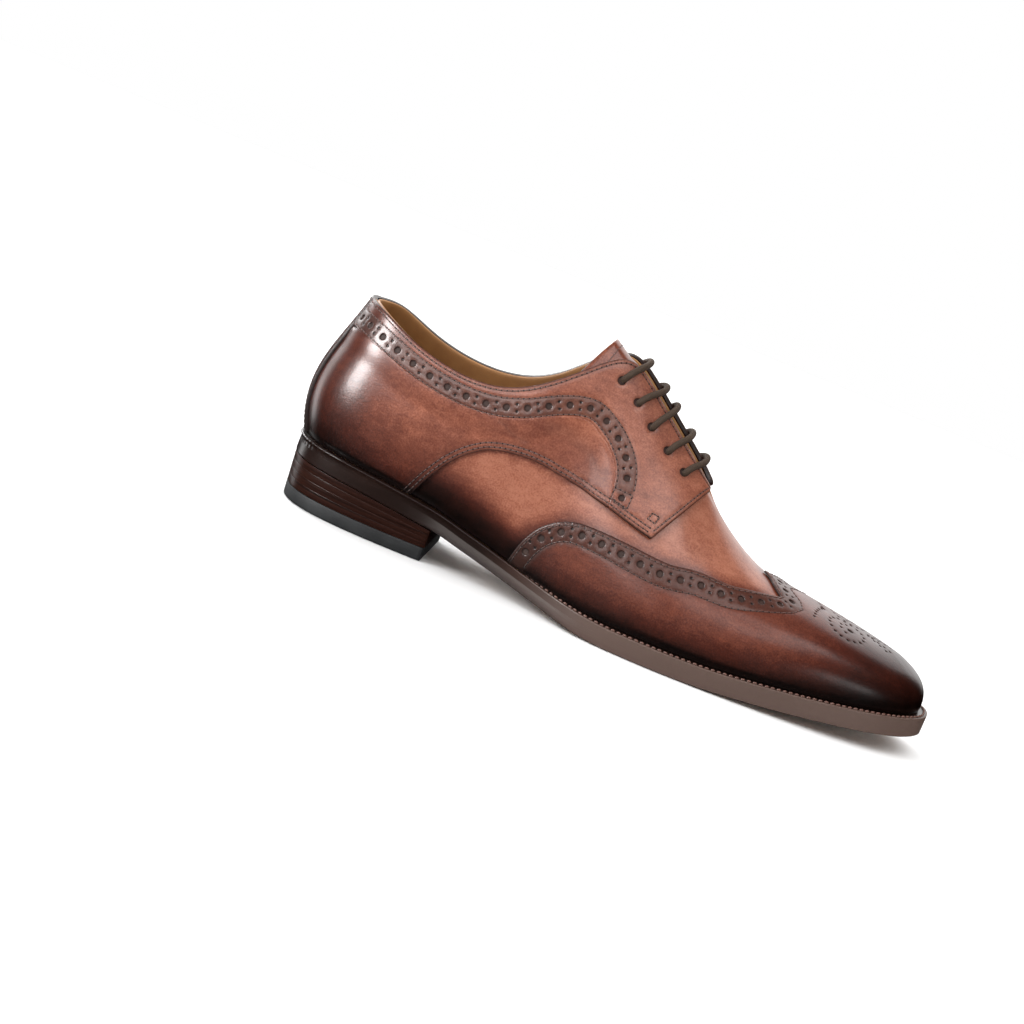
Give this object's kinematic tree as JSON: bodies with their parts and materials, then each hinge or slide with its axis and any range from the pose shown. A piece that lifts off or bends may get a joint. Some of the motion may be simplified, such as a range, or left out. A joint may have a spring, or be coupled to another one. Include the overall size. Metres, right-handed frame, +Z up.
{
  "type": "brogue derby shoe",
  "caption": "Right-foot derby dress shoe with a hollow leather upper, winged toe cap, open lacing over a tongue, welted leather sole and stacked heel.",
  "frame": {"origin": "on the floor under the middle of the shoe's overall length and width", "axes": "+X from the heel to the toe, +Y towards the inner (medial) side of the right foot, +Z up from the floor"},
  "size_m": [0.3072, 0.0988, 0.1189],
  "materials": {
    "upper_leather": "polished red-brown calf, darker towards the seams",
    "wing_leather": "polished red-brown calf, burnished dark at the toe",
    "sole_leather": "dark brown stained and waxed edge",
    "heel_rubber": "matt dark grey",
    "lining_leather": "plain tan lining leather",
    "lace_cord": "round waxed cord"
  },
  "bodies": {
    "root": {"upper": "upper_leather", "wing_cap": "wing_leather", "quarter_lateral": "upper_leather", "quarter_medial": "upper_leather", "facing_lateral": "upper_leather", "facing_medial": "upper_leather", "back_strip": "upper_leather", "tongue": "upper_leather", "outsole": "sole_leather", "welt": "sole_leather", "heel_stack": "sole_leather", "top_piece": "heel_rubber", "insole": "lining_leather", "lace_bar_1": "lace_cord", "lace_bar_2": "lace_cord", "lace_bar_3": "lace_cord", "lace_bar_4": "lace_cord", "lace_bar_5": "lace_cord"}
  },
  "joints": []
}
